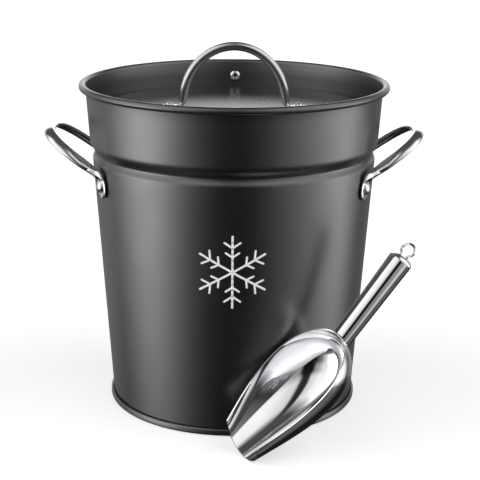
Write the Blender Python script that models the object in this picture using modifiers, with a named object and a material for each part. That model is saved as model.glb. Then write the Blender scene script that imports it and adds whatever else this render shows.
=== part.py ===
"""Ice bucket with a lift-off lid, two side handles and a scoop that leans on it.

Metres, +Z up. The origin is on the bucket's axis, on the surface that it stands on,
and -Y is the front. Every sub-part is one named object in the Ice_bucket collection.
"""

import math

import bmesh
import bpy
from mathutils import Matrix, Vector

# Driving dimensions
RIM_RADIUS = 0.105  # outermost point of the curled rim
BUCKET_HEIGHT = 0.2225  # top of the curled rim
SHEET = 0.0008  # thickness of every pressed steel sheet
GAP = 0.0003  # between pieces that touch
FOOT_RADIUS = 0.0865  # outside of the seam round the foot
PANEL_Z = 0.0018  # underside of the bottom panel, inside the seam
BODY_LOW = (0.0843, 0.0014)  # outer radius and height at the wall's lower edge
BODY_HIGH = (0.09623, 0.170)  # where the tapered body meets the bead
COLLAR_LOW = (0.09823, 0.186)
COLLAR_HIGH = (0.1004, 0.2172)
BEAD_SECTION = ((0.0962, 0.172), (0.0952, 0.1741), (0.0949, 0.1763), (0.0959, 0.1788),
                (0.0972, 0.181), (0.09795, 0.1833))  # pressed-in bead, outer surface
CURL_RADIUS = 0.002  # of the sheet's middle in the rolled rim
CURL_END = -125.0  # degrees, where the roll stops short of the wall
WIRE_RADIUS = 0.0012
POT_FLANGE_Z = 0.181  # middle of the flange that rests on the bead
POT_FLOOR_Z = 0.0144
LID_TOP_Z = 0.204
LID_RADIUS = 0.0978
LID_SKIRT_LOW = (0.0952, 0.1817)  # middle radius and height of the skirt's lower edge
LID_GRIP_ARCH = (0.0348, 0.0393)  # half span and rise of the arched handle's middle line
LID_GRIP_BAR = 0.003  # half its thickness
LID_RIVET_X = 0.044
HANDLE_AZIMUTH = math.radians(26.25)  # of each foot, from the bucket's X axis
HANDLE_RIVET_Z = 0.1585
HANDLE_TILT = math.radians(35.8)  # how the loop rises as it leaves the wall
HANDLE_REACH = 0.1256  # middle line at the loop's far end, from the axis
HANDLE_TOP_Z = 0.1899
HANDLE_OVAL = (0.0433, 0.0338)  # length and half width of the loop's rounded oval
HANDLE_POWER = 0.724  # under 1 makes the oval squarer
HANDLE_LEAN = math.radians(42.0)  # of the bar's flat sides, from the loop's plane
HANDLE_HALF_WIDTH = 0.0019  # of the bar, across its flat sides
HANDLE_HALF_THICK = 0.0037  # of the bar, along them
FOOT_PLATE_THICK = 0.002
HOOK_RIVET_Z = 0.2105
HOOK_PLATE_WIDTH = 0.011
HOOK_TONGUE_WIDTH = 0.006
HOOK_RADIUS = 0.0080  # of its round, to the strip's middle
HOOK_THICK = 0.0015
SCOOP_LIP = Vector((0.0133, -0.1190, 0.0115))  # on the scoop's axis, at its lip
SCOOP_AZIMUTH = math.radians(20.7)  # of the scoop's axis, from +X towards +Y
SCOOP_RISE = math.radians(50.4)
SCOOP_ROLL = math.radians(-19.2)
BOWL_LENGTH = 0.0871
BOWL_SHEET = 0.001
BOWL_LIP_HALF = 0.0174  # half width at the lip, and at the widest
BOWL_HALF = 0.0277
BOWL_BACK = 0.0367  # length of the rounded back end
BOWL_LIP_DEPTH = 0.0147
BOWL_DEPTH = 0.0328
BOWL_RIM_FRONT = 0.0115  # rim above the axis, at the lip and at the back
BOWL_RIM_BACK = -0.0026
BOWL_BULGE = 0.0114  # how far the lip's middle stands forward
GRIP_OFFSET = -0.0100  # the grip's middle line, from the axis
GRIP_LENGTH = 0.1480  # from the lip to the tube's end
GRIP_RADII = (0.0066, 0.0082)  # at the bowl, and at the free end
GRIP_SHEET = 0.0008

TURN_STEPS = 48
RING_POINTS = 12


def clear_scene():
    for old in list(bpy.data.objects):
        bpy.data.objects.remove(old, do_unlink=True)


def make_collection(name):
    collection = bpy.data.collections.new(name)
    bpy.context.scene.collection.children.link(collection)
    return collection


def make_material(name, colour, metallic, roughness):
    material = bpy.data.materials.new(name)
    material.use_nodes = True
    shader = material.node_tree.nodes["Principled BSDF"]
    shader.inputs["Base Color"].default_value = (*colour, 1.0)
    shader.inputs["Metallic"].default_value = metallic
    shader.inputs["Roughness"].default_value = roughness
    material.diffuse_color = (*colour, 1.0)
    return material


def coated(name):
    return make_material(name, (0.012, 0.012, 0.013), 0.0, 0.38)


def steel(name):
    return make_material(name, (0.62, 0.61, 0.6), 1.0, 0.2)


def add_object(name, mesh, material, collection):
    obj = bpy.data.objects.new(name, mesh)
    if material:
        mesh.materials.append(material)
    collection.objects.link(obj)
    return obj


def add_cutter(name, mesh):
    cutter = add_object(name, mesh, None, cutters)
    cutter.hide_render = True
    cutter.display_type = "WIRE"
    return cutter


def smooth(mesh, angle=35.0):
    mesh.shade_smooth()
    mesh.set_sharp_from_angle(angle=math.radians(angle))


def clockwise(points):
    """The same outline, turned so that its outer side runs downwards."""
    area = 0.0
    for (x0, z0), (x1, z1) in zip(points, points[1:] + points[:1]):
        area += x0 * z1 - x1 * z0
    return points if area < 0 else points[::-1]


def turned(name, outline, material, closed=True, steps=TURN_STEPS):
    """A body of revolution about the object's own Z axis."""
    points = clockwise(outline)
    if not closed and points[0][1] < points[-1][1]:
        points = points[::-1]
    edges = [(i, i + 1) for i in range(len(points) - 1)]
    if closed:
        edges.append((len(points) - 1, 0))
    mesh = bpy.data.meshes.new(name)
    mesh.from_pydata([(x, 0.0, z) for x, z in points], edges, [])
    obj = add_object(name, mesh, material, parts)
    screw = obj.modifiers.new("Turn", "SCREW")
    screw.steps = screw.render_steps = steps
    screw.use_merge_vertices = True
    screw.merge_threshold = 1e-5
    screw.use_smooth_shade = True
    return obj


def sheet_outline(middle, thickness=SHEET):
    """The closed outline of a sheet whose middle follows the given points."""
    sides = ([], [])
    for i, point in enumerate(middle):
        before = Vector(middle[max(i - 1, 0)])
        after = Vector(middle[min(i + 1, len(middle) - 1)])
        here = Vector(point)
        normals = []
        for a, b in ((before, here), (here, after)):
            if (b - a).length > 0:
                run = (b - a).normalized()
                normals.append(Vector((-run.y, run.x)))
        bisector = sum(normals, Vector((0.0, 0.0))).normalized()
        reach = 0.5 * thickness / bisector.dot(normals[0])
        for side, sign in zip(sides, (1, -1)):
            side.append(tuple(here + sign * reach * bisector))
    return sides[0] + sides[1][::-1]


def arc(centre, radius, start, end, count):
    """Points on an arc, from start to end in degrees."""
    points = []
    for i in range(count + 1):
        angle = math.radians(start + (end - start) * i / count)
        points.append((centre[0] + radius * math.cos(angle), centre[1] + radius * math.sin(angle)))
    return points


def loft(name, stations, material, squareness=2.0, sides=RING_POINTS):
    """A closed bar through stations of (centre, thin direction, half width, half thickness)."""
    bm = bmesh.new()
    rings = []
    for i, (centre, thin, half_width, half_thick) in enumerate(stations):
        before = stations[max(i - 1, 0)][0]
        after = stations[min(i + 1, len(stations) - 1)][0]
        along = (after - before).normalized()
        wide = along.cross(thin).normalized()
        thin = wide.cross(along).normalized()
        ring = []
        for k in range(sides):
            angle = 2 * math.pi * (k + 0.5) / sides
            x = math.copysign(abs(math.cos(angle)) ** (2 / squareness), math.cos(angle))
            y = math.copysign(abs(math.sin(angle)) ** (2 / squareness), math.sin(angle))
            ring.append(bm.verts.new(centre + half_width * x * wide + half_thick * y * thin))
        rings.append(ring)
    for low, high in zip(rings, rings[1:]):
        for k in range(sides):
            n = (k + 1) % sides
            bm.faces.new((low[k], low[n], high[n], high[k]))
    bm.faces.new(rings[0][::-1])
    bm.faces.new(rings[-1])
    bmesh.ops.recalc_face_normals(bm, faces=bm.faces)
    mesh = bpy.data.meshes.new(name)
    bm.to_mesh(mesh)
    bm.free()
    smooth(mesh)
    return add_object(name, mesh, material, parts)


def smooth_path(points, per_span):
    """Points on a Catmull-Rom curve through the given ones."""
    path = []
    last = len(points) - 1
    for i in range(last):
        p0, p1, p2, p3 = (points[max(min(i + k, last), 0)] for k in (-1, 0, 1, 2))
        for j in range(per_span):
            t = j / per_span
            path.append(0.5 * (2 * p1 + (p2 - p0) * t + (2 * p0 - 5 * p1 + 4 * p2 - p3) * t * t
                               + (3 * p1 - p0 - 3 * p2 + p3) * t ** 3))
    path.append(points[last].copy())
    return path


def cut(obj, cutter):
    boolean = obj.modifiers.new("Cut_" + cutter.name, "BOOLEAN")
    boolean.operation = "DIFFERENCE"
    boolean.solver = "EXACT"
    boolean.object = cutter


def drill(name, radius, length, place):
    """A round cutter along the Z axis of the given placement."""
    bm = bmesh.new()
    bmesh.ops.create_cone(bm, cap_ends=True, segments=16, radius1=radius, radius2=radius, depth=length)
    mesh = bpy.data.meshes.new(name)
    bm.to_mesh(mesh)
    bm.free()
    cutter = add_cutter(name, mesh)
    cutter.matrix_world = place
    return cutter


def wall_radius(z):
    """Outer radius of the wall at a height."""
    (r0, z0), (r1, z1) = (BODY_LOW, BODY_HIGH) if z < BODY_HIGH[1] else (COLLAR_LOW, COLLAR_HIGH)
    return r0 + (r1 - r0) * (z - z0) / (z1 - z0)


def wall_place(azimuth, z):
    """A placement on the wall's outer surface: Z outwards, Y upwards."""
    outwards = Vector((math.cos(azimuth), math.sin(azimuth), 0.0))
    sideways = Vector((0.0, 0.0, 1.0)).cross(outwards)
    r0, r1 = wall_radius(z - 0.004), wall_radius(z + 0.004)
    upwards = (outwards * (r1 - r0) + Vector((0.0, 0.0, 0.008))).normalized()
    normal = -upwards.cross(sideways).normalized()
    place = Matrix((-sideways, upwards, normal)).transposed().to_4x4()
    place.translation = outwards * wall_radius(z) + Vector((0.0, 0.0, z))
    return place


def rivet(name, place, head, grip, tail, material):
    """A solid rivet: Z = 0 of its placement is the outer face of the sheet it holds."""
    shank = 0.55 * head
    seat = grip[0] + GAP
    back = -grip[1] - GAP
    outline = [(0.0, seat + 0.6 * head), (0.42 * head, seat + 0.53 * head),
               (0.78 * head, seat + 0.32 * head), (head, seat + 0.04 * head), (head, seat),
               (shank, seat), (shank, back), (tail, back), (0.9 * tail, back - 0.0009),
               (0.0, back - 0.0012)]
    obj = turned(name, outline, material, closed=False, steps=16)
    obj.matrix_world = place
    return obj


def make_wall():
    centre = (RIM_RADIUS - CURL_RADIUS - SHEET / 2, BUCKET_HEIGHT - CURL_RADIUS - SHEET / 2)
    outer = [BODY_LOW, BODY_HIGH, *BEAD_SECTION, COLLAR_LOW, COLLAR_HIGH]
    middle = [(r - SHEET / 2, z) for r, z in outer]
    middle += arc(centre, CURL_RADIUS, 180.0, CURL_END, 7)
    wall = turned("bucket_wall", sheet_outline(middle), coated("black_coat"))
    turned("rim_wire", arc(centre, WIRE_RADIUS, 0.0, 300.0, 5), steel("wire"))
    return wall


def make_base():
    edge = BODY_LOW[0]
    outline = [(0.0, PANEL_Z + SHEET), (0.0806, PANEL_Z + SHEET), (0.0816, 0.0034), (0.0824, 0.0042),
               (0.0831, 0.0037),
               (edge - 0.00115, BODY_LOW[1] - GAP), (edge + 0.00045, BODY_LOW[1] - GAP),
               (edge + 0.00065, 0.0047), (FOOT_RADIUS - 0.0004, 0.0047), (FOOT_RADIUS, 0.0042),
               (FOOT_RADIUS, 0.0008), (FOOT_RADIUS - 0.0005, 0.0002), (FOOT_RADIUS - 0.0012, 0.0),
               (0.0834, 0.0), (0.0824, 0.0003), (0.0816, 0.0012), (0.0808, PANEL_Z), (0.0, PANEL_Z)]
    return turned("base_pan", outline, coated("black_base"), closed=False)


def make_pot():
    middle = [(0.0, POT_FLOOR_Z), (0.074, POT_FLOOR_Z), (0.0772, POT_FLOOR_Z + 0.0012),
              (0.0786, POT_FLOOR_Z + 0.0042), (0.0900, POT_FLANGE_Z - 0.0045),
              (0.0908, POT_FLANGE_Z - 0.0012), (0.0922, POT_FLANGE_Z), (0.0960, POT_FLANGE_Z)]
    return turned("inner_pot", sheet_outline(middle), coated("black_pot"), closed=False)


def make_lid():
    top = LID_TOP_Z - SHEET / 2
    middle = [(0.0, top), (LID_RADIUS - 0.0034, top), (LID_RADIUS - 0.0012, top - 0.0007),
              (LID_RADIUS - 0.0004, top - 0.0026), LID_SKIRT_LOW]
    lid = turned("lid_pan", sheet_outline(middle), coated("black_lid"), closed=False)
    foot_z = LID_TOP_Z + GAP + 0.0009
    centre_z = LID_TOP_Z + 0.0028
    half = [(0.0500, foot_z, 0.0022, 0.0009), (0.0494, foot_z, 0.0040, 0.0009),
            (0.0476, foot_z, 0.0050, 0.0009), (0.0405, foot_z, 0.0050, 0.0009),
            (0.0376, foot_z + 0.0002, 0.0042, 0.0011), (0.0357, foot_z + 0.0016, 0.0033, 0.0018),
            (0.0349, foot_z + 0.0042, 0.0030, 0.0026)]
    for angle in range(12, 91, 13):
        x, z = arc((0.0, 0.0), 1.0, angle, angle, 1)[0]
        half.append((LID_GRIP_ARCH[0] * x, centre_z + LID_GRIP_ARCH[1] * z, LID_GRIP_BAR, LID_GRIP_BAR))
    stations = []
    for side, run in ((-1, half), (1, half[-2::-1])):
        for x, z, half_width, half_thick in run:
            centre = Vector((side * x, 0.0, z))
            thin = Vector((side * x, 0.0, z - centre_z)) if z > centre_z + 0.002 else Vector((0, 0, 1))
            stations.append((centre, thin, half_width, half_thick))
    grip = loft("lid_handle", stations, steel("brushed_lid_handle"), squareness=2.3)
    for side, word in ((-1, "left"), (1, "right")):
        place = Matrix.Translation((side * LID_RIVET_X, 0.0, LID_TOP_Z))
        hole = drill("lid_hole_" + word, 0.0019, 0.012, place)
        cut(lid, hole)
        cut(grip, hole)
        rivet("lid_rivet_" + word, place, 0.0027, (GAP + 0.0018, SHEET), 0.0026, steel("rivet"))


def handle_path(side):
    """Stations of one side handle: front foot, loop, back foot."""
    outwards = Vector((side * math.cos(HANDLE_TILT), 0.0, math.sin(HANDLE_TILT)))
    under = Vector((side * math.sin(HANDLE_TILT), 0.0, -math.cos(HANDLE_TILT)))
    end = Vector((side * HANDLE_REACH, 0.0, HANDLE_TOP_Z))
    place = wall_place(-HANDLE_AZIMUTH if side > 0 else math.pi + HANDLE_AZIMUTH, HANDLE_RIVET_Z)
    normal = place.to_3x3() @ Vector((0.0, 0.0, 1.0))
    lift = GAP + FOOT_PLATE_THICK / 2
    foot = []
    for height, half_width in ((-0.0078, 0.0022), (-0.0072, 0.0040), (-0.0050, 0.0056), (0.0, 0.0060),
                               (0.0042, 0.0054)):
        centre = place @ Vector((0.0, height, lift))
        foot.append((centre, normal, half_width, FOOT_PLATE_THICK / 2))
    foot.append((place @ Vector((0.0, 0.0074, lift + 0.0014)), normal, 0.0036, 0.0019))
    length, half = HANDLE_OVAL
    loop = []
    for angle in (86, 79, 70, 60, 49, 37, 24, 9):
        swing = math.radians(angle)
        run = length * (math.cos(swing) ** HANDLE_POWER - 1.0)
        aside = half * math.sin(swing) ** HANDLE_POWER
        facing = (outwards * math.cos(swing) ** (2 - HANDLE_POWER) / length
                  - Vector((0.0, math.sin(swing) ** (2 - HANDLE_POWER) / half, 0.0))).normalized()
        thin = under * math.cos(HANDLE_LEAN) + facing * math.sin(HANDLE_LEAN)
        width, thick = (0.0025, 0.0030) if angle > 80 else (HANDLE_HALF_WIDTH, HANDLE_HALF_THICK)
        loop.append((end + outwards * run - Vector((0.0, aside, 0.0)), thin, width, thick))
    front = foot + loop
    back = []
    for centre, thin, half_width, half_thick in front[::-1]:
        flip = Vector((1.0, -1.0, 1.0))
        back.append((centre * flip, thin * flip, half_width, half_thick))
    return front + back


def make_handles(wall):
    for side, word in ((-1, "left"), (1, "right")):
        bar = loft("handle_" + word, handle_path(side), steel("handle_" + word), squareness=2.4)
        for end, front in (("front", -1), ("back", 1)):
            azimuth = front * HANDLE_AZIMUTH if side > 0 else math.pi - front * HANDLE_AZIMUTH
            place = wall_place(azimuth, HANDLE_RIVET_Z)
            hole = drill(f"handle_hole_{word}_{end}", 0.0026, 0.012, place)
            cut(bar, hole)
            cut(wall, hole)
            grip = (GAP + FOOT_PLATE_THICK, SHEET)
            rivet(f"handle_rivet_{word}_{end}", place, 0.004, grip, 0.0034, steel("rivet"))


def make_hook(wall):
    place = wall_place(math.pi / 2, HOOK_RIVET_Z)
    middle = GAP + HOOK_THICK / 2
    line = [(0.0052, middle), (-0.0050, middle), (-0.0078, middle)]
    line += [(y, z) for z, y in arc((middle + HOOK_RADIUS, -0.0120), HOOK_RADIUS, 180.0, 340.0, 7)]
    line.append((line[-1][0] + 0.0060, line[-1][1] + 0.0035))
    stations = []
    for i, (y, z) in enumerate(line):
        before = Vector(line[max(i - 1, 0)])
        after = Vector(line[min(i + 1, len(line) - 1)])
        run = (after - before).normalized()
        thin = place.to_3x3() @ Vector((0.0, -run.y, run.x))
        width = HOOK_PLATE_WIDTH if i < 2 else HOOK_TONGUE_WIDTH
        stations.append((place @ Vector((0.0, y, z)), thin, width / 2, HOOK_THICK / 2))
    hook = loft("scoop_hook", stations, steel("hook"), squareness=8.0)
    hole = drill("hook_hole", 0.0023, 0.012, place)
    cut(hook, hole)
    cut(wall, hole)
    inside = -SHEET - GAP - 0.0002
    outside = GAP + HOOK_THICK + GAP
    outline = [(0.0, inside - 0.0002), (0.0013, inside - 0.0002), (0.0015, inside - 0.0012),
               (0.0028, inside - 0.0010), (0.0038, inside - 0.0004), (0.0038, inside), (0.0018, inside),
               (0.0018, outside), (0.0028, outside), (0.0030, outside + 0.0009),
               (0.0020, outside + 0.0020), (0.0, outside + 0.0024)]
    blind = turned("hook_rivet", outline, steel("rivet"), closed=False, steps=16)
    blind.matrix_world = place


def scoop_place():
    """Placement of the scoop: X along its grip, Y to its right, Z out of its opening."""
    axis = Vector((math.cos(SCOOP_RISE) * math.cos(SCOOP_AZIMUTH),
                   math.cos(SCOOP_RISE) * math.sin(SCOOP_AZIMUTH), math.sin(SCOOP_RISE)))
    right = axis.cross(Vector((0.0, 0.0, 1.0))).normalized()
    opening = right.cross(axis)
    right, opening = (right * math.cos(SCOOP_ROLL) + opening * math.sin(SCOOP_ROLL),
                      opening * math.cos(SCOOP_ROLL) - right * math.sin(SCOOP_ROLL))
    place = Matrix((axis, -right, opening)).transposed().to_4x4()
    place.translation = SCOOP_LIP
    return place


def bowl_section(x, grow=0.0):
    """Half width, depth and rim height of the bowl at a distance from its lip."""
    straight = BOWL_LENGTH - BOWL_BACK
    rim = BOWL_RIM_FRONT + (BOWL_RIM_BACK - BOWL_RIM_FRONT) * x / BOWL_LENGTH
    if x < straight:
        swell = math.sin(0.5 * math.pi * max(x, 0.0) / straight)
        return (BOWL_LIP_HALF + (BOWL_HALF - BOWL_LIP_HALF) * swell + grow,
                BOWL_LIP_DEPTH + (BOWL_DEPTH - BOWL_LIP_DEPTH) * swell + grow, rim)
    fall = math.sqrt(max(1.0 - ((x - straight) / (BOWL_BACK + grow)) ** 2, 0.0))
    return (BOWL_HALF + grow) * fall, (BOWL_DEPTH + grow) * fall, rim


def bowl_rings(grow=0.0, stations=16, around=14):
    rings = []
    for i in range(stations + 1):
        x = (BOWL_LENGTH + grow) * (1.0 - (1.0 - i / stations) ** 1.7)
        half, depth, rim = bowl_section(x, grow)
        ring = []
        for k in range(around + 1):
            angle = math.pi * k / around
            lean = BOWL_BULGE * math.sin(angle) * (1.0 - min(x / BOWL_LENGTH, 1.0)) ** 3
            ring.append(Vector((x - lean, half * math.cos(angle), rim - depth * math.sin(angle))))
        rings.append(ring)
    return rings


def ring_mesh(name, rings, lidded=False):
    """A skin over the bowl's sections, closed over the top and at the lip when lidded."""
    bm = bmesh.new()
    rows = [[bm.verts.new(point) for point in ring] for ring in rings]
    for low, high in zip(rows, rows[1:]):
        for k in range(len(low) - 1):
            bm.faces.new((low[k], high[k], high[k + 1], low[k + 1]))
        if lidded:
            bm.faces.new((low[-1], high[-1], high[0], low[0]))
    if lidded:
        bm.faces.new(rows[0])
    bmesh.ops.remove_doubles(bm, verts=bm.verts, dist=1e-6)
    bmesh.ops.recalc_face_normals(bm, faces=bm.faces)
    lowest = min(bm.faces, key=lambda face: face.calc_center_median().z)
    if lowest.normal.z > 0:
        bmesh.ops.reverse_faces(bm, faces=bm.faces)
    mesh = bpy.data.meshes.new(name)
    bm.to_mesh(mesh)
    bm.free()
    smooth(mesh)
    return mesh


def make_scoop():
    place = scoop_place()
    bowl = add_object("scoop_bowl", ring_mesh("scoop_bowl", bowl_rings()), steel("mirror_bowl"), parts)
    bowl.matrix_world = place
    shell = bowl.modifiers.new("Sheet", "SOLIDIFY")
    shell.thickness = BOWL_SHEET
    shell.offset = -1.0
    plug = add_cutter("bowl_plug", ring_mesh("bowl_plug", bowl_rings(GAP), lidded=True))
    plug.matrix_world = place
    near, far = GRIP_RADII
    start = BOWL_LENGTH - 0.012
    outline = [(near, 0.0), (far, GRIP_LENGTH - start), (far - GRIP_SHEET, GRIP_LENGTH - start),
               (near - GRIP_SHEET, 0.0)]
    along = place @ Matrix.Translation((start, 0.0, GRIP_OFFSET)) @ Matrix.Rotation(math.pi / 2, 4, "Y")
    grip = turned("scoop_handle", outline, steel("mirror_grip"), steps=24)
    grip.matrix_world = along
    cut(grip, plug)
    top = GRIP_LENGTH - start + GAP
    bore = far - GRIP_SHEET - GAP - 0.0002
    cap_outline = [(0.0, top + 0.0042), (0.45 * far, top + 0.0038), (0.8 * far, top + 0.0024),
                   (0.96 * far, top + 0.0010), (far, top), (bore, top), (bore, top - 0.004),
                   (0.0, top - 0.004)]
    cap = turned("scoop_end_cap", cap_outline, steel("mirror_cap"), closed=False, steps=24)
    cap.matrix_world = along
    make_ring(along, top, cap)


def make_ring(along, top, cap):
    """The wire hanging loop whose two feet stand in the end cap."""
    wire, spread, waist = 0.00085, 0.0028, 0.0052
    knots = [(-spread, top + 0.0012), (-spread, top + 0.0047), (-waist, top + 0.0074),
             (-waist, top + 0.0098), (-0.0030, top + 0.0123), (0.0, top + 0.0131)]
    knots += [(-x, z) for x, z in knots[-2::-1]]
    stations = []
    path = smooth_path([Vector((0.0, x, z)) for x, z in knots], 2)
    for centre in path:
        stations.append((along @ centre, along.to_3x3() @ Vector((1.0, 0.0, 0.0)), wire, wire))
    loft("scoop_ring", stations, steel("ring_wire"), sides=8)
    for word, side in (("left", -1), ("right", 1)):
        hole = drill("ring_hole_" + word, wire + 0.0004, 0.008,
                     along @ Matrix.Translation((0.0, side * spread, top + 0.0050)))
        cut(cap, hole)


clear_scene()
parts = make_collection("Ice_bucket")
cutters = make_collection("Cutters")
bucket_wall = make_wall()
make_base()
make_pot()
make_lid()
make_handles(bucket_wall)
make_hook(bucket_wall)
make_scoop()
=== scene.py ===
"""Looks of the ice bucket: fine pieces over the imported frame, materials, light and camera."""

import math

import bmesh
import bpy
from mathutils import Matrix, Vector


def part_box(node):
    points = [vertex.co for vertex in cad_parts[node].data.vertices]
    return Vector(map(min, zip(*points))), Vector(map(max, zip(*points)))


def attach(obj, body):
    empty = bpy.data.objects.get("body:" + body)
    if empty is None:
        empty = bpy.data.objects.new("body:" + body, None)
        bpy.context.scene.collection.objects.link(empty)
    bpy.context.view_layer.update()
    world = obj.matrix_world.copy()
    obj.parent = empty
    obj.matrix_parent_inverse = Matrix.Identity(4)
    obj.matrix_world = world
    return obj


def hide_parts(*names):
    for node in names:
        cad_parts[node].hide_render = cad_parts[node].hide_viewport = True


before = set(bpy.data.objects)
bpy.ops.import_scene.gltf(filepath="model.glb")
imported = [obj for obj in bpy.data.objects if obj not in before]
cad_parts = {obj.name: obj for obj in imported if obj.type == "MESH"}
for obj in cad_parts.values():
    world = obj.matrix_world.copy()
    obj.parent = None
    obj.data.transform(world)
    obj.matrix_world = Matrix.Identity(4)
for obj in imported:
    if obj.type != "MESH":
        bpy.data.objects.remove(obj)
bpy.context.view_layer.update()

# Sizes in metres, the same as the CAD's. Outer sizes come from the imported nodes.
SHEET = 0.0008
GAP = 0.0003  # left between pieces that touch
TURN_STEPS = 256
wall_low, wall_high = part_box("bucket_wall")
lid_low, lid_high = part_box("lid_pan")
RIM_RADIUS, BUCKET_TOP = wall_high.x, wall_high.z
FOOT_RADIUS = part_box("base_pan")[1].x
LID_TOP, LID_RADIUS = lid_high.z, lid_high.x

# The wall's outer side as (radius, height): tapered body, pressed-in bead, collar.
BODY_LOW = (0.0843, wall_low.z)
BODY_HIGH = (0.09623, 0.170)
COLLAR_LOW = (0.09823, 0.186)
COLLAR_HIGH = (0.1004, 0.2172)
BEAD_SECTION = ((0.0962, 0.172), (0.0952, 0.1741), (0.0949, 0.1763), (0.0959, 0.1788),
                (0.0972, 0.181), (0.09795, 0.1833))
CURL_RADIUS = 0.002


# ---------------------------------------------------------------- mesh tools

def add_piece(name, mesh, body, material, nodes=()):
    """A piece of the object: it rides on a body and stands for the CAD nodes named."""
    piece = bpy.data.objects.new(name, mesh)
    bpy.context.scene.collection.objects.link(piece)
    mesh.materials.append(material)
    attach(piece, body)
    if nodes:
        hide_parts(*nodes)
    return piece


def shade(mesh, angle=38.0):
    """Smooth shading, with edges over the angle in degrees kept sharp."""
    mesh.shade_smooth()
    mesh.set_sharp_from_angle(angle=math.radians(angle))


def rounded(points, reach=0.0004, count=4):
    """The outline with each corner eased over a short reach."""
    out = [Vector(points[0])]
    for before, here, after in zip(points, points[1:], points[2:]):
        before, here, after = Vector(before), Vector(here), Vector(after)
        into, away = here - before, after - here
        turn = into.angle(away) if into.length > 0 and away.length > 0 else 0.0
        if turn < math.radians(9):
            out.append(here)
            continue
        a = here - into.normalized() * min(reach, 0.45 * into.length)
        b = here + away.normalized() * min(reach, 0.45 * away.length)
        for k in range(count + 1):
            t = k / count
            out.append(a.lerp(here, t).lerp(here.lerp(b, t), t))
    out.append(Vector(points[-1]))
    return [(p.x, p.y) for p in out]


def turned(name, outline, place=None, steps=TURN_STEPS, closed=False):
    """A mesh turned about Z from an outline of (radius, height); closed joins its ends."""
    bm = bmesh.new()
    place = place or Matrix.Identity(4)
    rings = []
    for radius, z in outline:
        if radius < 1e-7:
            rings.append([bm.verts.new(place @ Vector((0.0, 0.0, z)))])
            continue
        ring = []
        for k in range(steps):
            a = 2 * math.pi * k / steps
            ring.append(bm.verts.new(place @ Vector((radius * math.cos(a), radius * math.sin(a), z))))
        rings.append(ring)
    pairs = list(zip(rings, rings[1:]))
    if closed:
        pairs.append((rings[-1], rings[0]))
    for low, high in pairs:
        for k in range(steps):
            n = (k + 1) % steps
            if len(low) == 1 and len(high) > 1:
                bm.faces.new((low[0], high[k], high[n]))
            elif len(high) == 1 and len(low) > 1:
                bm.faces.new((low[k], high[0], low[n]))
            elif len(low) > 1:
                bm.faces.new((low[k], high[k], high[n], low[n]))
    bmesh.ops.recalc_face_normals(bm, faces=bm.faces)
    mesh = bpy.data.meshes.new(name)
    bm.to_mesh(mesh)
    bm.free()
    shade(mesh)
    return mesh


def sheet_outline(middle, thickness=SHEET):
    """The closed outline of a sheet whose middle follows the given points."""
    sides = ([], [])
    for i, point in enumerate(middle):
        before = Vector(middle[max(i - 1, 0)])
        after = Vector(middle[min(i + 1, len(middle) - 1)])
        here = Vector(point)
        normals = []
        for a, b in ((before, here), (here, after)):
            if (b - a).length > 0:
                run = (b - a).normalized()
                normals.append(Vector((-run.y, run.x)))
        bisector = sum(normals, Vector((0.0, 0.0))).normalized()
        reach = 0.5 * thickness / bisector.dot(normals[0])
        for side, sign in zip(sides, (1, -1)):
            side.append(tuple(here + sign * reach * bisector))
    return sides[0] + sides[1][::-1]


def arc(centre, radius, start, end, count):
    """Points on an arc, from start to end in degrees."""
    points = []
    for i in range(count + 1):
        a = math.radians(start + (end - start) * i / count)
        points.append((centre[0] + radius * math.cos(a), centre[1] + radius * math.sin(a)))
    return points


def smooth_path(points, per_span):
    """Points on a Catmull-Rom curve through the given vectors."""
    path = []
    last = len(points) - 1
    for i in range(last):
        p0, p1, p2, p3 = (points[max(min(i + k, last), 0)] for k in (-1, 0, 1, 2))
        for j in range(per_span):
            t = j / per_span
            path.append(0.5 * (2 * p1 + (p2 - p0) * t + (2 * p0 - 5 * p1 + 4 * p2 - p3) * t * t
                               + (3 * p1 - p0 - 3 * p2 + p3) * t ** 3))
    path.append(points[last].copy())
    return path


def loft(name, stations, squareness=2.0, sides=40):
    """A closed bar through stations of (centre, thin direction, half width, half thickness).

    Its section is an ellipse at a squareness of 2, and nearer to a rectangle above it.
    """
    bm = bmesh.new()
    rings = []
    for i, (centre, thin, half_width, half_thick) in enumerate(stations):
        before = stations[max(i - 1, 0)][0]
        after = stations[min(i + 1, len(stations) - 1)][0]
        along = (after - before).normalized()
        wide = along.cross(thin).normalized()
        thin = wide.cross(along).normalized()
        ring = []
        for k in range(sides):
            a = 2 * math.pi * (k + 0.5) / sides
            x = math.copysign(abs(math.cos(a)) ** (2 / squareness), math.cos(a))
            y = math.copysign(abs(math.sin(a)) ** (2 / squareness), math.sin(a))
            ring.append(bm.verts.new(centre + half_width * x * wide + half_thick * y * thin))
        rings.append(ring)
    for low, high in zip(rings, rings[1:]):
        for k in range(sides):
            n = (k + 1) % sides
            bm.faces.new((low[k], low[n], high[n], high[k]))
    bm.faces.new(rings[0][::-1])
    bm.faces.new(rings[-1])
    bmesh.ops.recalc_face_normals(bm, faces=bm.faces)
    mesh = bpy.data.meshes.new(name)
    bm.to_mesh(mesh)
    bm.free()
    shade(mesh, 50.0)
    return mesh


def vectors_of(station):
    """A station's centre, thin direction and two half sizes, as three vectors."""
    centre, thin, half_width, half_thick = station
    return centre, thin.normalized(), Vector((half_width, half_thick, 0.0))


def finer(stations, per_span):
    """The same stations with more between them, on smooth curves."""
    runs = zip(*(vectors_of(station) for station in stations))
    centres, thins, sizes = (smooth_path(run, per_span) for run in runs)
    return [(c, t, s.x, s.y) for c, t, s in zip(centres, thins, sizes)]


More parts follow.
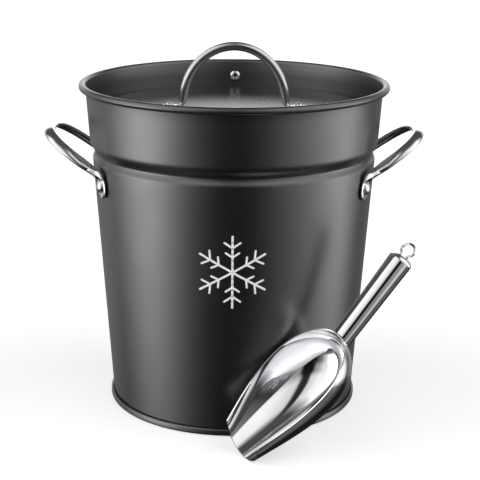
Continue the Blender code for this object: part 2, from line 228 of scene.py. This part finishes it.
def even(stations, step):
    """The stations spaced evenly on a Catmull-Rom curve that doesn't loop where they are uneven."""
    rough = []
    last = len(stations) - 1
    for i in range(last):
        near = [vectors_of(stations[max(min(i + k, last), 0)]) for k in (-1, 0, 1, 2)]
        spans = [max((b[0] - a[0]).length, 1e-6) ** 0.5 for a, b in zip(near, near[1:])]
        t1 = spans[0]
        t2, t3 = t1 + spans[1], t1 + spans[1] + spans[2]
        for j in range(8):
            t = t1 + (t2 - t1) * j / 8
            values = []
            for p0, p1, p2, p3 in zip(*near):
                a1 = p0.lerp(p1, t / t1)
                a2 = p1.lerp(p2, (t - t1) / (t2 - t1))
                a3 = p2.lerp(p3, (t - t2) / (t3 - t2))
                b1 = a1.lerp(a2, t / t2)
                b2 = a2.lerp(a3, (t - t1) / (t3 - t1))
                values.append(b1.lerp(b2, (t - t1) / (t2 - t1)))
            rough.append((values[0], values[1], values[2].x, values[2].y))
    rough.append(stations[-1])
    picked = [rough[0]]
    for station in rough[1:-1]:
        if (station[0] - picked[-1][0]).length > step:
            picked.append(station)
    return picked + [rough[-1]]


# ---------------------------------------------------------------- materials

def new_material(name):
    material = bpy.data.materials.new(name)
    material.use_nodes = True
    return material, material.node_tree, material.node_tree.nodes["Principled BSDF"]


def node(tree, kind, **settings):
    made = tree.nodes.new(kind)
    for key, value in settings.items():
        setattr(made, key, value)
    return made


def ramp_of(tree, source, low, high, start, end):
    """A scalar from start to end as the source goes from low to high."""
    out = node(tree, "ShaderNodeMapRange")
    out.inputs["From Min"].default_value = low
    out.inputs["From Max"].default_value = high
    out.inputs["To Min"].default_value = start
    out.inputs["To Max"].default_value = end
    tree.links.new(source, out.inputs["Value"])
    return out.outputs["Result"]


def place_of(tree, scale=(1.0, 1.0, 1.0)):
    """The surface's own coordinates, in metres, scaled."""
    coords = node(tree, "ShaderNodeTexCoord")
    mapping = node(tree, "ShaderNodeMapping")
    mapping.inputs["Scale"].default_value = scale
    tree.links.new(coords.outputs["Object"], mapping.inputs["Vector"])
    return mapping.outputs["Vector"]


def noise_of(tree, where, scale, detail):
    made = node(tree, "ShaderNodeTexNoise")
    made.inputs["Scale"].default_value = scale
    made.inputs["Detail"].default_value = detail
    tree.links.new(where, made.inputs["Vector"])
    return made.outputs["Fac"]


def shades_of(tree, shader, share, colour, change):
    """The base colour runs from the given one to the same times change, as the share goes up."""
    blend = node(tree, "ShaderNodeMix", data_type="RGBA")
    blend.inputs["A"].default_value = (*colour, 1.0)
    blend.inputs["B"].default_value = (*(change * c for c in colour), 1.0)
    tree.links.new(share, blend.inputs["Factor"])
    tree.links.new(blend.outputs["Result"], shader.inputs["Base Color"])


def bump_of(tree, shader, height, strength, distance):
    made = node(tree, "ShaderNodeBump")
    made.inputs["Strength"].default_value = strength
    made.inputs["Distance"].default_value = distance
    tree.links.new(height, made.inputs["Height"])
    tree.links.new(made.outputs["Normal"], shader.inputs["Normal"])


def coated(name, colour, rough):
    """Baked satin coating: a very fine orange-peel, and slightly uneven gloss."""
    material, tree, shader = new_material(name)
    where = place_of(tree)
    broad = noise_of(tree, where, 35.0, 2.0)
    fine = noise_of(tree, where, 2600.0, 2.0)
    tree.links.new(ramp_of(tree, broad, 0.3, 0.7, rough - 0.02, rough + 0.02), shader.inputs["Roughness"])
    shades_of(tree, shader, broad, colour, 1.5)
    shader.inputs["IOR"].default_value = 1.9
    shader.inputs["Specular IOR Level"].default_value = 0.72
    bump_of(tree, shader, fine, 0.12, 0.00003)
    return material


def metal(name, colour, rough, grain=None, strength=0.1):
    """Polished steel; grain = (x, y, z) scales stretch the fine lines left by brushing."""
    material, tree, shader = new_material(name)
    shader.inputs["Metallic"].default_value = 1.0
    where = place_of(tree)
    haze = noise_of(tree, where, 60.0, 3.0)
    tree.links.new(ramp_of(tree, haze, 0.3, 0.7, rough * 0.8, rough * 1.25), shader.inputs["Roughness"])
    shades_of(tree, shader, haze, colour, 0.93)
    if grain:
        lines = noise_of(tree, place_of(tree, grain), 1.0, 4.0)
        bump_of(tree, shader, lines, strength, 0.00005)
    return material


BLACK = (0.0030, 0.0030, 0.0034)
COAT = coated("Satin_black_coat", BLACK, 0.35)
COAT_LID = coated("Satin_black_lid", BLACK, 0.28)
MIRROR = metal("Mirror_steel", (0.86, 0.86, 0.88), 0.045)
GRIP = metal("Polished_grip", (0.84, 0.84, 0.86), 0.07)
BAR = metal("Polished_bar", (0.80, 0.79, 0.78), 0.16, grain=(900.0, 120.0, 900.0), strength=0.12)
BRUSHED = metal("Brushed_arch", (0.66, 0.65, 0.64), 0.24, grain=(150.0, 2600.0, 150.0), strength=0.25)
STUD = metal("Rivet_steel", (0.84, 0.83, 0.82), 0.13)


# ---------------------------------------------------------------- bucket

def wall_radius(z):
    """Radius of the wall's outside at a height, on the body or the collar."""
    (r0, z0), (r1, z1) = (BODY_LOW, BODY_HIGH) if z < BODY_HIGH[1] else (COLLAR_LOW, COLLAR_HIGH)
    return r0 + (r1 - r0) * (z - z0) / (z1 - z0)


def wall_place(azimuth, z):
    """A placement on the wall's outer surface: Z outwards, Y upwards."""
    reach = 0.004
    outwards = Vector((math.cos(azimuth), math.sin(azimuth), 0.0))
    sideways = Vector((0.0, 0.0, 1.0)).cross(outwards)
    widening = wall_radius(z + reach) - wall_radius(z - reach)
    upwards = (outwards * widening + Vector((0.0, 0.0, 2 * reach))).normalized()
    normal = -upwards.cross(sideways).normalized()
    place = Matrix((-sideways, upwards, normal)).transposed().to_4x4()
    place.translation = outwards * wall_radius(z) + Vector((0.0, 0.0, z))
    return place


def make_wall():
    outer = [Vector(BODY_LOW).lerp(Vector(BODY_HIGH), t) for t in (0.0, 0.25, 0.5, 0.75, 0.93)]
    outer += smooth_path([Vector(p) for p in (BODY_HIGH, *BEAD_SECTION, COLLAR_LOW)], 5)
    outer += [Vector(COLLAR_LOW).lerp(Vector(COLLAR_HIGH), t) for t in (0.4, 0.8, 1.0)]
    middle = [(r - SHEET / 2, z) for r, z in outer]
    centre = (RIM_RADIUS - CURL_RADIUS - SHEET / 2, BUCKET_TOP - CURL_RADIUS - SHEET / 2)
    middle += arc(centre, CURL_RADIUS, 180.0, -125.0, 28)
    mesh = turned("wall", sheet_outline(middle), closed=True)
    add_piece("wall", mesh, "bucket", COAT, ["bucket_wall"])


def make_base():
    """The bottom panel and the seam that folds round the wall's lower edge."""
    edge, foot = BODY_LOW[0], FOOT_RADIUS
    panel_low, panel_high = 0.0018, 0.0026
    seam_bottom, seam_top = 0.0011, 0.0047
    outline = [(0.0, panel_high), (0.0806, panel_high), (0.0816, 0.0034), (0.0824, 0.0042),
               (0.0831, 0.0037), (edge - 0.00115, seam_bottom), (edge + 0.00045, seam_bottom),
               (edge + 0.00065, seam_top), (foot - 0.0005, seam_top), (foot, 0.0040),
               (foot, 0.0010), (foot - 0.0006, 0.0002), (foot - 0.0013, 0.0), (0.0834, 0.0),
               (0.0824, 0.0003), (0.0816, 0.0012), (0.0808, panel_low), (0.0, panel_low)]
    mesh = turned("foot_seam", rounded(outline, 0.0005))
    add_piece("foot_seam", mesh, "bucket", COAT, ["base_pan"])


def make_pot():
    low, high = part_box("inner_pot")
    floor, flange = low.z + SHEET / 2, high.z - SHEET / 2
    middle = [(0.0, floor), (0.074, floor), (0.0772, floor + 0.0012), (0.0786, floor + 0.0042),
              (0.0900, flange - 0.0045), (0.0908, flange - 0.0012), (0.0922, flange),
              (high.x, flange)]
    mesh = turned("liner", sheet_outline(rounded(middle, 0.002)))
    add_piece("liner", mesh, "bucket", COAT, ["inner_pot"])


def make_lid():
    top = LID_TOP - SHEET / 2
    middle = [(0.0, top), (0.030, top), (0.060, top), (LID_RADIUS - 0.0038, top),
              (LID_RADIUS - 0.0014, top - 0.0006), (LID_RADIUS - 0.0005, top - 0.0028),
              (0.0952, lid_low.z + 0.0001)]
    mesh = turned("lid_cover", sheet_outline(rounded(middle, 0.0012, 6)))
    add_piece("lid_cover", mesh, "lid", COAT_LID, ["lid_pan"])


def dome(radius, rise, base, fullness, count):
    """Outline of a dome from its top to its edge; fullness is (across, up), 1 for an ellipse."""
    outline = [(0.0, base + rise)]
    for k in range(1, count + 1):
        a = math.radians(90.0 * k / count)
        outline.append((radius * math.sin(a) ** fullness[0], base + rise * math.cos(a) ** fullness[1]))
    return outline


def stud(name, place, head, body, node_name):
    """A domed rivet head with a soft edge, on a shank that goes down into the piece."""
    shank, depth, seat = 0.55 * head, 0.0030, 0.0001
    outline = dome(head, 0.6 * head, 0.0, (0.9, 1.15), 14)
    outline += [(head, -seat), (shank, -seat), (shank, -depth), (0.0, -depth)]
    mesh = turned(name, outline, place, 48)
    add_piece(name, mesh, body, STUD, [node_name])


def make_lid_grip():
    """The bent wire arch with its flattened, round-ended feet, and the rivets through them."""
    bar, foot_half, rivet_x = 0.003, 0.0009, 0.044
    foot_z = LID_TOP + GAP + foot_half
    centre_z = LID_TOP + 0.0028
    half_span, rise = 0.0348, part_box("lid_handle")[1].z - centre_z - bar
    half = []
    for k in range(9):
        a = math.radians(90.0 * k / 8)
        half.append((0.0500 - 0.0032 * (1 - math.cos(a)), foot_z,
                     0.0012 + 0.0038 * math.sin(a), foot_half))
    half += [(0.0440, foot_z, 0.0050, foot_half), (0.0405, foot_z, 0.0049, foot_half),
             (0.0376, foot_z + 0.0002, 0.0042, 0.0011), (0.0357, foot_z + 0.0016, 0.0033, 0.0018),
             (0.0349, foot_z + 0.0042, 0.0030, 0.0026)]
    for angle in range(12, 91, 6):
        a = math.radians(angle)
        half.append((half_span * math.cos(a), centre_z + rise * math.sin(a), bar, bar))
    stations = []
    for side, run in ((-1, half), (1, half[-2::-1])):
        for x, z, half_width, half_thick in run:
            centre = Vector((side * x, 0.0, z))
            lifted = z > centre_z + 0.002
            thin = Vector((side * x, 0.0, z - centre_z)) if lifted else Vector((0.0, 0.0, 1.0))
            stations.append((centre, thin, half_width, half_thick))
    mesh = loft("lid_arch", finer(stations, 3), squareness=2.3)
    add_piece("lid_arch", mesh, "lid", BRUSHED, ["lid_handle"])
    for side, word in ((-1, "left"), (1, "right")):
        place = Matrix.Translation((side * rivet_x, 0.0, foot_z + 0.0010))
        stud("lid_stud_" + word, place, 0.0027, "lid", "lid_rivet_" + word)


HOOK_RIVET_Z = 0.2105


def make_hook_rivet():
    """The hook's rivet: a round flange on the inside of the wall, and a head outside the hook."""
    inside = -SHEET - GAP - 0.0002
    outside = GAP + 0.0015 + GAP
    outline = [(0.0, inside + 0.0012), (0.0012, inside + 0.0012), (0.0013, inside - 0.0008),
               (0.0017, inside - 0.0012), (0.0024, inside - 0.0011), (0.0032, inside - 0.0008),
               (0.0038, inside - 0.0003), (0.0038, inside), (0.0018, inside), (0.0018, outside),
               (0.0028, outside), (0.0030, outside + 0.0009), (0.0020, outside + 0.0020),
               (0.0, outside + 0.0024)]
    mesh = turned("hook_stud", rounded(outline, 0.0003), wall_place(math.pi / 2, HOOK_RIVET_Z), 48)
    add_piece("hook_stud", mesh, "bucket", STUD, ["hook_rivet"])


HANDLE_AZIMUTH = math.radians(26.25)  # of the feet, on either side of straight sideways
HANDLE_RIVET_Z = 0.1585
PLATE = 0.002  # thickness of the flattened feet
HANDLE_TILT = math.radians(35.8)  # how steeply the loop rises outwards
HANDLE_LEAN = math.radians(42.0)  # how far its flat section turns out of the loop's plane
HANDLE_END = (0.1252, 0.1899)  # middle of the loop's outer end, across and up
HANDLE_OVAL = (0.0433, 0.0338, 0.724)  # the loop's length, half width and roundness
HANDLE_SWINGS = (86, 82.5, 79, 74.5, 70, 65, 60, 54.5, 49, 43, 37, 30.5, 24, 16.5, 9, 3)


def handle_stations(side):
    """Stations of one side handle: front foot, loop, back foot."""
    length, half, power = HANDLE_OVAL
    outwards = Vector((side * math.cos(HANDLE_TILT), 0.0, math.sin(HANDLE_TILT)))
    under = Vector((side * math.sin(HANDLE_TILT), 0.0, -math.cos(HANDLE_TILT)))
    end = Vector((side * HANDLE_END[0], 0.0, HANDLE_END[1]))
    place = wall_place(-HANDLE_AZIMUTH if side > 0 else math.pi + HANDLE_AZIMUTH, HANDLE_RIVET_Z)
    normal = place.to_3x3() @ Vector((0.0, 0.0, 1.0))
    lift = GAP + PLATE / 2
    front = []
    for k in range(1, 9):
        a = math.radians(90.0 * k / 8)
        spot = place @ Vector((0.0, -0.0018 - 0.0060 * math.cos(a), lift))
        front.append((spot, normal, 0.0006 + 0.0054 * math.sin(a), PLATE / 2))
    for height, rise, width, thick in ((0.0, 0.0, 0.0060, 0.0010), (0.0022, 0.0, 0.0059, 0.0010),
                                       (0.0042, 0.0001, 0.0053, 0.0011), (0.0058, 0.0005, 0.0045, 0.0014),
                                       (0.0074, 0.0014, 0.0036, 0.0019)):
        front.append((place @ Vector((0.0, height, lift + rise)), normal, width, thick))
    for degrees in HANDLE_SWINGS:
        swing = math.radians(degrees)
        run = length * (math.cos(swing) ** power - 1.0)
        aside = half * math.sin(swing) ** power
        facing = (outwards * math.cos(swing) ** (2 - power) / length
                  - Vector((0.0, math.sin(swing) ** (2 - power) / half, 0.0))).normalized()
        thin = under * math.cos(HANDLE_LEAN) + facing * math.sin(HANDLE_LEAN)
        flat = min((HANDLE_SWINGS[0] - degrees) / 7.0, 1.0)
        front.append((end + outwards * run - Vector((0.0, aside, 0.0)), thin,
                      0.0025 - 0.0006 * flat, 0.0030 + 0.0007 * flat))
    flip = Vector((1.0, -1.0, 1.0))
    back = [(centre * flip, thin * flip, w, t) for centre, thin, w, t in front[::-1]]
    return front + back


def make_handles():
    lift = Matrix.Translation((0.0, 0.0, GAP + PLATE + 0.0001))
    for side, word in ((-1, "left"), (1, "right")):
        mesh = loft("side_handle_" + word, even(handle_stations(side), 0.0009), squareness=2.4)
        add_piece("side_handle_" + word, mesh, "bucket", BAR, ["handle_" + word])
        for end, front in (("front", -1), ("back", 1)):
            azimuth = front * HANDLE_AZIMUTH if side > 0 else math.pi - front * HANDLE_AZIMUTH
            place = wall_place(azimuth, HANDLE_RIVET_Z) @ lift
            stud(f"handle_stud_{word}_{end}", place, 0.004, "bucket", f"handle_rivet_{word}_{end}")


# ---------------------------------------------------------------- scoop

BOWL_LENGTH = 0.0871
BOWL_BACK = 0.0367  # length of its rounded end
BOWL_HALF, BOWL_DEPTH, BACK_RIM = 0.0277, 0.0328, -0.0026
LIP_HALF, LIP_DEPTH, LIP_RIM = 0.0174, 0.0147, 0.0115
LIP_LEAN = 0.0114  # how far the middle of the lip reaches past its corners
SCOOP_LIP = (0.0133, -0.1190, 0.0115)  # start of the scoop's axis, at the lip
GRIP_END = 0.1480  # distances along the scoop from its lip
GRIP_START = BOWL_LENGTH - 0.0045
TUBE_LENGTH = GRIP_END - GRIP_START
GRIP_OFFSET = -0.0100
NEAR, FAR = 0.0066, 0.0082  # radius of the grip near the bowl and at its end
CAP_SEAT = TUBE_LENGTH + GAP


def scoop_place():
    """Placement of the scoop: X along its grip, Y to its left, Z out of its opening."""
    azimuth, rise, roll = math.radians(20.7), math.radians(50.4), math.radians(-19.2)
    level = Vector((math.cos(azimuth), math.sin(azimuth), 0.0))
    axis = level * math.cos(rise) + Vector((0.0, 0.0, math.sin(rise)))
    right = axis.cross(Vector((0.0, 0.0, 1.0))).normalized()
    opening = right.cross(axis)
    right, opening = (right * math.cos(roll) + opening * math.sin(roll),
                      opening * math.cos(roll) - right * math.sin(roll))
    place = Matrix((axis, -right, opening)).transposed().to_4x4()
    place.translation = Vector(SCOOP_LIP)
    return place


def bowl_section(x):
    """Half width, depth and rim height of the bowl at a distance from its lip."""
    straight = BOWL_LENGTH - BOWL_BACK
    rim = LIP_RIM + (BACK_RIM - LIP_RIM) * x / BOWL_LENGTH
    if x < straight:
        swell = math.sin(0.5 * math.pi * x / straight)
        half = LIP_HALF + (BOWL_HALF - LIP_HALF) * swell
        return half, LIP_DEPTH + (BOWL_DEPTH - LIP_DEPTH) * swell, rim
    fall = math.sqrt(max(1.0 - ((x - straight) / BOWL_BACK) ** 2, 0.0))
    return BOWL_HALF * fall, BOWL_DEPTH * fall, rim


def bowl_back(y, z, gap):
    """How far along the scoop the outside of the bowl's rounded end is, with a gap."""
    across, down = y / (BOWL_HALF + gap), max(BACK_RIM - z, 0.0) / (BOWL_DEPTH + gap)
    left = 1.0 - across ** 2 - down ** 2
    return BOWL_LENGTH - BOWL_BACK + (BOWL_BACK + gap) * math.sqrt(max(left, 0.0))


def make_bowl():
    """The scoop's bowl: an open surface from lip to rounded end, given its sheet and soft edge."""
    stations, around = 90, 80
    bm = bmesh.new()
    rows = []
    for i in range(stations + 1):
        x = BOWL_LENGTH * (1.0 - (1.0 - i / stations) ** 1.8)
        half, depth, rim = bowl_section(x)
        row = []
        for k in range(around + 1):
            a = math.pi * k / around
            lean = LIP_LEAN * math.sin(a) * (1.0 - x / BOWL_LENGTH) ** 3
            row.append(bm.verts.new(Vector((x - lean, half * math.cos(a), rim - depth * math.sin(a)))))
        rows.append(row)
    for low, high in zip(rows, rows[1:]):
        for k in range(around):
            bm.faces.new((low[k], high[k], high[k + 1], low[k + 1]))
    bmesh.ops.remove_doubles(bm, verts=bm.verts, dist=1e-6)
    bmesh.ops.recalc_face_normals(bm, faces=bm.faces)
    if min(bm.faces, key=lambda f: f.calc_center_median().z).normal.z > 0:
        bmesh.ops.reverse_faces(bm, faces=bm.faces)
    bmesh.ops.transform(bm, matrix=scoop_place(), verts=bm.verts)
    mesh = bpy.data.meshes.new("bowl")
    bm.to_mesh(mesh)
    bm.free()
    mesh.shade_smooth()
    piece = add_piece("bowl", mesh, "scoop", MIRROR, ["scoop_bowl"])
    shell = piece.modifiers.new("Sheet", "SOLIDIFY")
    shell.thickness = 0.001
    shell.offset = -1.0
    edge = piece.modifiers.new("Edge", "BEVEL")
    edge.width = 0.00035
    edge.segments = 3
    edge.limit_method = "ANGLE"
    edge.angle_limit = math.radians(50)
    edge.harden_normals = True


def grip_place():
    """Placement of the grip: Z along it, from the start of its tube."""
    turn = Matrix.Rotation(math.pi / 2, 4, "Y")
    return scoop_place() @ Matrix.Translation((GRIP_START, 0.0, GRIP_OFFSET)) @ turn


def make_grip():
    """The grip's tapered tube, its root shaped to the outside of the bowl."""
    taper = (FAR - NEAR) / (GRIP_END - BOWL_LENGTH + 0.012)
    root = FAR - taper * TUBE_LENGTH
    outline = [(root, 0.0), (FAR, TUBE_LENGTH), (FAR - SHEET, TUBE_LENGTH), (root - SHEET, 0.0)]
    mesh = turned("grip_tube", outline, grip_place(), 96, closed=True)
    place = scoop_place()
    into_scoop = place.inverted()
    for vertex in mesh.vertices:
        x, y, z = into_scoop @ vertex.co
        if x < GRIP_START + 0.0005:
            vertex.co = place @ Vector((bowl_back(y, z, GAP), y, z))
    add_piece("grip_tube", mesh, "scoop", GRIP, ["scoop_handle"])


def make_cap():
    plug, depth = FAR - SHEET - GAP - 0.0002, 0.004
    outline = dome(FAR, 0.0042, CAP_SEAT, (0.85, 1.1), 12)
    outline += [(plug, CAP_SEAT), (plug, CAP_SEAT - depth), (0.0, CAP_SEAT - depth)]
    mesh = turned("grip_cap", outline, grip_place(), 96)
    add_piece("grip_cap", mesh, "scoop", GRIP, ["scoop_end_cap"])


def make_hanging_loop():
    """The wire loop on the cap: two straight legs, a waist and a round top."""
    spread, waist, wire = 0.0028, 0.0052, 0.00085
    knots = [(-spread, 0.0012), (-spread, 0.0047), (-waist, 0.0074), (-waist, 0.0098),
             (-0.0030, 0.0123), (0.0, 0.0131)]
    knots += [(-x, z) for x, z in knots[-2::-1]]
    place = grip_place()
    side = place.to_3x3() @ Vector((1.0, 0.0, 0.0))
    path = smooth_path([place @ Vector((0.0, x, CAP_SEAT + z)) for x, z in knots], 8)
    mesh = loft("hanging_loop", [(p, side, wire, wire) for p in path], sides=20)
    add_piece("hanging_loop", mesh, "scoop", GRIP, ["scoop_ring"])


# ---------------------------------------------------------------- printed motif

def wall_point(across, up, lift):
    """A point on the front of the wall: across along its curve, up along its height."""
    radius = wall_radius(up)
    azimuth = -math.pi / 2 + across / radius
    return Vector((math.cos(azimuth) * (radius + lift), math.sin(azimuth) * (radius + lift), up))


def stroke(bm, a, b, half):
    """A flat painted line with round ends, laid on the wall."""
    a, b = Vector(a), Vector(b)
    run = (b - a).normalized()
    side = Vector((-run.y, run.x))
    edge = []
    for end, towards in ((b, 0.0), (a, math.pi)):
        for k in range(9):
            angle = towards - math.pi / 2 + math.pi * k / 8
            edge.append(end + run * half * math.cos(angle) + side * half * math.sin(angle))
    rows = [[bm.verts.new(wall_point(p.x, p.y, lift)) for p in edge] for lift in (0.00002, 0.00012)]
    low, high = rows
    count = len(edge)
    for k in range(count // 2 - 1):
        bm.faces.new((high[k], high[k + 1], high[count - 2 - k], high[count - 1 - k]))
    for k in range(count):
        n = (k + 1) % count
        bm.faces.new((low[k], low[n], high[n], high[k]))


def make_motif():
    """A plain six-armed ice crystal drawn in even white lines."""
    centre, arm, half, steps = Vector((0.0, 0.1150)), 0.0240, 0.00072, 6
    bm = bmesh.new()
    for k in range(6):
        a = math.radians(90 + 60 * k)
        out = Vector((math.cos(a), math.sin(a)))
        for i in range(steps):
            stroke(bm, centre + out * arm * i / steps, centre + out * arm * (i + 1) / steps, half)
        for at, reach in ((0.42, 0.0052), (0.68, 0.0062)):
            fork = centre + out * arm * at
            for lean in (-55, 55):
                b = a + math.radians(lean)
                stroke(bm, fork, fork + Vector((math.cos(b), math.sin(b))) * reach, half * 0.9)
    bmesh.ops.recalc_face_normals(bm, faces=bm.faces)
    mesh = bpy.data.meshes.new("ice_crystal")
    bm.to_mesh(mesh)
    bm.free()
    mesh.shade_smooth()
    material, tree, shader = new_material("White_print")
    shader.inputs["Base Color"].default_value = (0.86, 0.86, 0.86, 1.0)
    speck = noise_of(tree, place_of(tree), 900.0, 2.0)
    tree.links.new(ramp_of(tree, speck, 0.3, 0.7, 0.45, 0.6), shader.inputs["Roughness"])
    add_piece("ice_crystal", mesh, "bucket", material)


# ---------------------------------------------------------------- studio

def make_floor():
    """A wide pale disc that mirror-like rays don't see, so the steel reflects the studio only."""
    bm = bmesh.new()
    bmesh.ops.create_circle(bm, cap_ends=True, radius=6.0, segments=96)
    bmesh.ops.translate(bm, verts=bm.verts, vec=(0.0, 0.0, -0.0002))
    mesh = bpy.data.meshes.new("floor")
    bm.to_mesh(mesh)
    bm.free()
    material, _, shader = new_material("Pale_floor")
    shader.inputs["Base Color"].default_value = (0.93, 0.93, 0.93, 1.0)
    shader.inputs["Roughness"].default_value = 0.9
    shader.inputs["Specular IOR Level"].default_value = 0.1
    shader.inputs["Emission Color"].default_value = (1.0, 1.0, 1.0, 1.0)
    shader.inputs["Emission Strength"].default_value = 0.50
    mesh.materials.append(material)
    obj = bpy.data.objects.new("floor", mesh)
    bpy.context.scene.collection.objects.link(obj)
    obj.visible_glossy = False


def curve_of(tree, source, stops):
    """A smooth curve of the source through stops of (source value, result)."""
    low, high = stops[0][0], stops[-1][0]
    top = max(value for _, value in stops)
    share = ramp_of(tree, source, low, high, 0.0, 1.0)
    ramp = node(tree, "ShaderNodeValToRGB")
    colours = ramp.color_ramp
    colours.interpolation = "EASE"
    for _ in range(len(stops) - 2):
        colours.elements.new(0.5)
    for element, (at, value) in zip(colours.elements, stops):
        element.position = (at - low) / (high - low)
        element.color = (value / top, value / top, value / top, 1.0)
    tree.links.new(share, ramp.inputs["Fac"])
    return ramp_of(tree, ramp.outputs["Color"], 0.0, 1.0, 0.0, top)


# Brightness of the studio by degrees from the front towards +X, in three belts of height.
LOW = [(-180, 0.3), (-150, 0.4), (-132, 0.6), (-118, 0.4), (-106, 0.8), (-92, 2.2), (-78, 3.7),
       (-64, 3.3), (-50, 1.7), (-37, 0.65), (-25, 0.18), (-12, 0.02), (0, 0.0), (12, 0.0),
       (22, 0.08), (35, 0.42), (47, 0.75), (60, 1.15), (72, 1.6), (88, 2.4), (101, 2.7),
       (113, 1.1), (128, 0.15), (150, 0.3), (180, 0.3)]
MIDDLE = [(-180, 2.6), (-155, 1.3), (-132, 0.4), (-118, 0.4), (-104, 0.9), (-90, 1.8), (-70, 1.9),
          (-40, 0.9), (-20, 0.4), (-9, 0.01), (8, 0.01), (18, 0.35), (40, 0.75), (75, 1.3), (100, 1.5),
          (114, 0.6), (130, 0.25), (155, 1.2), (180, 2.6)]
HIGH = [(-180, 0.08), (-130, 0.08), (-112, 0.8), (-98, 1.5), (-40, 1.1), (-14, 0.8), (-6, 0.03),
        (5, 0.03), (14, 0.8), (40, 1.1), (98, 1.5), (112, 0.8), (130, 0.08), (180, 0.08)]
# Share of the lowest belt by the sine of the height above the horizon.
FALL = [(-1.0, 0.05), (-0.6, 0.05), (-0.5, 0.08), (-0.44, 0.3), (-0.37, 0.9), (-0.28, 1.0), (1.0, 1.0)]
ZENITH = 0.08  # brightness straight overhead


def blended(tree, share, below, above):
    """A scalar from below to above as the share goes up; each is a socket or a number."""
    mix = node(tree, "ShaderNodeMix", data_type="FLOAT")
    for source, socket in ((share, "Factor"), (below, "A"), (above, "B")):
        if isinstance(source, float):
            mix.inputs[socket].default_value = source
        else:
            tree.links.new(source, mix.inputs[socket])
    return mix.outputs["Result"]


def make_world():
    """Soft light from both sides, dim in front and overhead, white where the camera sees it."""
    world = bpy.data.worlds.new("Studio")
    bpy.context.scene.world = world
    world.use_nodes = True
    tree = world.node_tree
    back = tree.nodes["Background"]
    coords = node(tree, "ShaderNodeTexCoord")
    split = node(tree, "ShaderNodeSeparateXYZ")
    tree.links.new(coords.outputs["Generated"], split.inputs["Vector"])
    height = split.outputs["Z"]
    front = node(tree, "ShaderNodeMath", operation="MULTIPLY")
    front.inputs[1].default_value = -1.0
    tree.links.new(split.outputs["Y"], front.inputs[0])
    angle = node(tree, "ShaderNodeMath", operation="ARCTAN2")
    tree.links.new(split.outputs["X"], angle.inputs[0])
    tree.links.new(front.outputs["Value"], angle.inputs[1])
    degrees = node(tree, "ShaderNodeMath", operation="DEGREES")
    tree.links.new(angle.outputs["Value"], degrees.inputs[0])
    around = degrees.outputs["Value"]
    low = node(tree, "ShaderNodeMath", operation="MULTIPLY")
    tree.links.new(curve_of(tree, around, LOW), low.inputs[0])
    tree.links.new(curve_of(tree, height, FALL), low.inputs[1])
    level = low.outputs["Value"]
    for start, end, above in ((-0.15, 0.05, curve_of(tree, around, MIDDLE)),
                              (0.25, 0.45, curve_of(tree, around, HIGH)), (0.86, 0.97, ZENITH)):
        level = blended(tree, ramp_of(tree, height, start, end, 0.0, 1.0), level, above)
    path = node(tree, "ShaderNodeLightPath")
    level = blended(tree, path.outputs["Is Camera Ray"], level, 0.98)
    tree.links.new(level, back.inputs["Strength"])
    back.inputs["Color"].default_value = (1.0, 1.0, 1.0, 1.0)


def make_camera():
    """A long lens in front, above the rim and looking down on it."""
    data = bpy.data.cameras.new("Camera")
    data.lens = 102.97
    data.sensor_width = 36.0
    data.clip_start, data.clip_end = 0.02, 40.0
    camera = bpy.data.objects.new("Camera", data)
    bpy.context.scene.collection.objects.link(camera)
    turn = Matrix.Rotation(math.radians(74.328), 4, "X") @ Matrix.Rotation(math.radians(0.459), 4, "Z")
    camera.matrix_world = Matrix.Translation((0.00465, -0.92412, 0.36987)) @ turn
    bpy.context.scene.camera = camera


def finish_cad_nodes():
    """CAD nodes that stay in view get a finished material."""
    for name in ("rim_wire", "scoop_hook"):
        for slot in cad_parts[name].material_slots:
            slot.link = "OBJECT"
            slot.material = BAR


make_wall()
make_base()
make_pot()
make_lid()
make_lid_grip()
make_hook_rivet()
make_handles()
make_bowl()
make_grip()
make_cap()
make_hanging_loop()
make_motif()
finish_cad_nodes()
make_floor()
make_world()
make_camera()
bpy.context.scene.view_settings.view_transform = "Standard"
